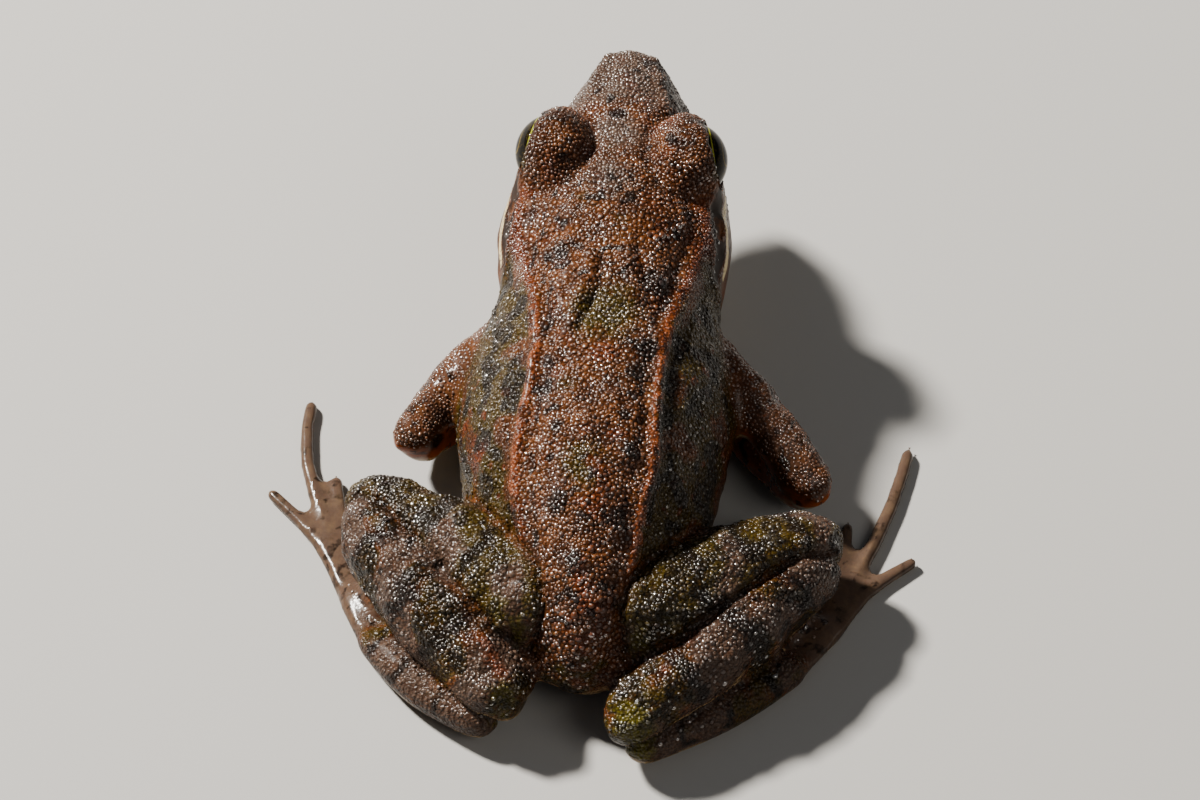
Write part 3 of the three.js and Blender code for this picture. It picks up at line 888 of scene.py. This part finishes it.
skin.data.calc_loop_triangles()
triangles = read(skin.data.loop_triangles, "vertices", 3, int)
loops = read(skin.data.loop_triangles, "loops", 3, int)

# The skin's own unwrap places every bead on the same map.
bpy.context.view_layer.objects.active = skin
skin.select_set(True)
skin.data.uv_layers.new(name="OFBake")
bpy.ops.object.mode_set(mode="EDIT")
bpy.ops.mesh.select_all(action="SELECT")
bpy.ops.uv.smart_project(angle_limit=1.15, island_margin=0.004, scale_to_bounds=True)
bpy.ops.object.mode_set(mode="OBJECT")
skin.select_set(False)
skin_map = read(skin.data.uv_layers["OFBake"].uv, "vector", 2)

PITCH = 0.2  # from bead to bead on the back
THINNEST = 0.08  # below this a place has no beads
TRIES = 200000
pitch_field = PITCH * np.ones(len(p))
pitch_field -= 0.048 * head_part * step(-6.0, -9.5, y)
pitch_field -= 0.03 * part("thigh", "shank")
pitch_field -= 0.07 * flank + 0.075 * part("upper_arm")
pitch_field -= 0.065 * fold
pitch_field *= 1 + 0.16 * mottle
bead_dice = np.random.default_rng(7)
corner = p[triangles]
area = np.linalg.norm(np.cross(corner[:, 1] - corner[:, 0], corner[:, 2] - corner[:, 0]), axis=1) / 2
area *= marks["bead_field"][triangles].mean(1) > THINNEST
tries = bead_dice.choice(len(triangles), TRIES, p=area / area.sum())
weights = bead_dice.dirichlet((1, 1, 1), len(tries))


def at_tries(values):
    """Values of the skin's vertices at the tried places."""
    picked = values[triangles[tries]]
    return (picked * weights.reshape(*weights.shape, *[1] * (picked.ndim - 2))).sum(1)


spot = at_tries(p)
chance = at_tries(marks["bead_field"])
pitch = at_tries(pitch_field) * np.exp(bead_dice.normal(0, 0.22, len(tries)).clip(-0.45, 0.4))
spacing = pitch / np.sqrt(np.clip(chance, 0.1, 1))

BIN = 0.9  # the side of a box of places, wider than any spacing
AROUND = [(a, b, c) for a in (-1, 0, 1) for b in (-1, 0, 1) for c in (-1, 0, 1)]
grid = {}


def has_room(i, home):
    """Whether no kept bead stands within this one's spacing."""
    for a, b, c in AROUND:
        for other in grid.get((home[0] + a, home[1] + b, home[2] + c), ()):
            gap = spot[i] - spot[other]
            if gap @ gap < spacing[i] * spacing[other]:
                return False
    return True


kept = []
for i in np.flatnonzero(chance > THINNEST):
    home = tuple(np.floor(spot[i] / BIN).astype(int))
    if has_room(i, home):
        grid.setdefault(home, []).append(i)
        kept.append(i)
kept = np.array(kept)

root = spot[kept]
rise = at_tries(n)[kept]
rise += bead_dice.normal(0, 0.19, rise.shape)
rise /= np.linalg.norm(rise, axis=1)[:, None]
sway = np.cross(rise, bead_dice.normal(size=rise.shape))
sway /= np.linalg.norm(sway, axis=1)[:, None]
cross = np.cross(rise, sway)
half = pitch[kept] * bead_dice.uniform(0.6, 0.84, len(kept))
low_bead = 1 - 0.2 * at_tries(part("thigh", "shank") + fold)[kept]
tall = half * bead_dice.uniform(0.36, 0.66, len(kept)) * low_bead
narrow = half * bead_dice.uniform(0.72, 1.0, len(kept))
tint = bead_dice.uniform(0, 1, len(kept))
map_place = (skin_map[loops[tries[kept]]] * weights[kept][:, :, None]).sum(1)
map_place = np.clip(map_place, 0.002, 0.998)

# Some beads are lighter and some nearly black, and the water on them gives the glints.
BLACK_BEAD = paint(44, 34, 34)
pearl = Finish("wet_beads")
tone = pearl.mark("tint")
colour = hide_colour(pearl, 0.35)
colour = pearl.blend(tone * 0.55, colour, colour, "ADD")
colour = pearl.blend(pearl.between(0.25, 0.1, tone) * 0.5, colour, BLACK_BEAD)
gloss = pearl.between(0.25, 0.75, tone) * pearl.between(0.56, 0.44, pearl.noise(1.3, 3)) * 0.95 + 0.05
pearl.fill(pearl.shader, {
    "Base Color": colour,
    "Roughness": 0.34,
    "Specular IOR Level": 0.33,
    "Normal": pearl.bump(pearl.noise(0.12, 2), 0.04),
    "Coat Weight": gloss,
    "Coat Roughness": 0.18,
    "Coat IOR": 2.5,
})

head_bead = at_tries(head_part)[kept] > 0.5
leg_bead = at_tries(part("thigh", "shank", "tarsus"))[kept] > 0.5
arm_bead = at_tries(part("upper_arm", "forearm"))[kept] > 0.5
flank_bead = at_tries(flank)[kept] > 0.5
left_bead = root[:, 0] > 0
groups = {
    "beads_head": head_bead,
    "beads_leg_left": leg_bead & left_bead,
    "beads_leg_right": leg_bead & ~left_bead,
    "beads_arms": arm_bead & ~leg_bead & ~head_bead,
    "beads_flanks": flank_bead & ~leg_bead & ~head_bead & ~arm_bead,
}
groups["beads_back"] = ~np.logical_or.reduce(list(groups.values()))
PATCH = 0.0015  # half the side of a bead's patch on the map
for name, members in groups.items():
    who = np.flatnonzero(members)
    local = bead_points[None] * np.stack([half[who], narrow[who], tall[who]], axis=1)[:, None]
    local *= bead_dice.uniform(0.86, 1.1, (*local.shape[:2], 1))
    stance = np.stack([sway[who], cross[who], rise[who]], axis=1)
    placed = root[who][:, None] + np.einsum("bvk,bkd->bvd", local, stance)
    bead_map = map_place[who][:, None] + bead_points[None, :, :2] * PATCH
    faces = bead_faces[None] + len(bead_points) * np.arange(len(who))[:, None, None]
    mesh = bpy.data.meshes.new(name)
    mesh.from_pydata((placed.reshape(-1, 3) * MM).tolist(), [], faces.reshape(-1, 3).tolist())
    mesh.shade_smooth()
    for mark in (*TINTS, "pale", "dark", "stripe_off"):
        at_root = np.clip(at_tries(marks[mark])[kept][who], 0, 1)
        keep(mesh, mark, np.repeat(at_root, len(bead_points)))
    keep(mesh, "tint", np.repeat(tint[who], len(bead_points)))
    layer = mesh.uv_layers.new(name="OFBake")
    layer.uv.foreach_set("vector", bead_map.reshape(-1, 2)[faces.reshape(-1)].ravel())
    mesh.materials.append(pearl.material)
    piece = set_down(name, mesh)
    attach(piece, "root")

# ---- Eyes ----
# A large round eye stands out of each side of the head, glassy and almost black. The iris is dark
# with gold flecks, brightest in a thin ring round the long level pupil, with a lime rim at the top.

GOLD = paint(168, 140, 52)
UPPER_IRIS = paint(9, 8, 6)
LOWER_IRIS = paint(22, 16, 10)
PUPIL = paint(6, 6, 8)
BALL = paint(8, 7, 6)  # the eyeball outside the iris
LIME_RIM = paint(122, 122, 34)
eye_finish = Finish("eye_glass")
across = eye_finish.mark("across")
over = eye_finish.mark("over")
out = eye_finish.mark("out")
oval = across * across * 1.45 + over * over * 3.1
pupil = 1 - eye_finish.between(0.2, 0.235, oval)
ring = eye_finish.between(0.24, 0.25, oval) * (1 - eye_finish.between(0.28, 0.33, oval))
flecks = eye_finish.between(0.5, 0.62, eye_finish.noise(0.16, 4, 0.7))
below = eye_finish.between(0.0, -0.5, over)
lean = out - over * 0.2
rim = eye_finish.between(0.645, 0.63, lean) * eye_finish.between(0.595, 0.61, lean)
rim = rim * eye_finish.between(0.1, 0.5, over)
colour = eye_finish.blend(below, UPPER_IRIS, LOWER_IRIS)
colour = eye_finish.blend(flecks * (0.05 + 0.4 * below), colour, GOLD)
colour = eye_finish.blend(ring * (0.2 + 0.6 * below), colour, GOLD)
colour = eye_finish.blend(pupil, colour, PUPIL)
colour = eye_finish.blend(eye_finish.between(0.72, 0.62, out), colour, BALL)
colour = eye_finish.blend(rim * 0.9, colour, LIME_RIM)
eye_finish.fill(eye_finish.shader, {
    "Base Color": colour,
    "Roughness": 0.12,
    "Specular IOR Level": 0.1,
    "IOR": 1.35,
})

for side, node in zip(SIDES, EYE_NODES):
    centre, axis, along, up = eye_frame(side)
    ball = bmesh.new()
    bmesh.ops.create_uvsphere(ball, u_segments=64, v_segments=40, radius=EYE_RADIUS)
    turned = Matrix((along, up, axis)).transposed()
    if turned.determinant() < 0:
        turned = Matrix((-along, up, axis)).transposed()
    bmesh.ops.transform(ball, matrix=turned.to_4x4(), verts=ball.verts)
    bmesh.ops.translate(ball, vec=centre, verts=ball.verts)
    eye_mesh = bpy.data.meshes.new(node + "_ball")
    ball.to_mesh(eye_mesh)
    ball.free()
    eye_mesh.shade_smooth()
    arm = (places(eye_mesh) - centre) / EYE_RADIUS
    for mark, way in (("across", along), ("over", up), ("out", axis)):
        keep(eye_mesh, mark, arm @ way)
    eye_mesh.transform(Matrix.Scale(MM, 4))
    eye_mesh.materials.append(eye_finish.material)
    eye = set_down(node + "_ball", eye_mesh)
    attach(eye, "root")
    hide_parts(node)

# ---- Floor, light and camera ----
# The frog sits on a plain pale board in a plain room. A warm lamp stands ahead on its left, a weak
# one behind on its right, and it is looked at from above and behind.

FLOOR_PAINT = (0.31, 0.305, 0.294, 1)
board = bmesh.new()
bmesh.ops.create_grid(board, x_segments=1, y_segments=1, size=1.0)
floor_mesh = bpy.data.meshes.new("floor")
board.to_mesh(floor_mesh)
board.free()
floor = set_down("floor", floor_mesh)
floor_finish = Finish("plain_floor")
floor_finish.fill(floor_finish.shader, {"Base Color": FLOOR_PAINT, "Roughness": 0.9})
floor.data.materials.append(floor_finish.material)

ELEVATION = math.radians(52)
AZIMUTH = math.radians(184.529)
DISTANCE = 0.26
AIM = Vector((0.000229, -0.000562, 0.005))
level = math.cos(ELEVATION)
away = Vector((math.sin(AZIMUTH) * level, -math.cos(AZIMUTH) * level, math.sin(ELEVATION)))
lens = bpy.data.cameras.new("camera")
lens.lens = 153.6
lens.sensor_width = 36
lens.clip_start = 0.01
camera = set_down("camera", lens)
camera.location = AIM + DISTANCE * away
camera.rotation_euler = away.to_track_quat("Z", "Y").to_euler()
bpy.context.scene.camera = camera

WARM_LIGHT = (1, 0.95, 0.88)
ROOM_LIGHT = (0.85, 0.9, 1.0, 1)


def lamp(name, toward, distance, size, power):
    """A soft square lamp that faces the frog."""
    light = bpy.data.lights.new(name, "AREA")
    light.size = size
    light.energy = power
    light.color = WARM_LIGHT
    toward = Vector(toward).normalized()
    holder = set_down(name, light)
    holder.location = toward * distance
    holder.rotation_euler = toward.to_track_quat("Z", "Y").to_euler()


lamp("key", (0.72, -0.4, 0.8), 0.5, 0.05, 12.0)
lamp("fill", (-0.7, 0.5, 0.8), 0.6, 0.3, 0.9)
world = bpy.data.worlds.new("room")
world.use_nodes = True
room = world.node_tree.nodes["Background"]
room.inputs["Color"].default_value = ROOM_LIGHT
room.inputs["Strength"].default_value = 0.1
bpy.context.scene.world = world
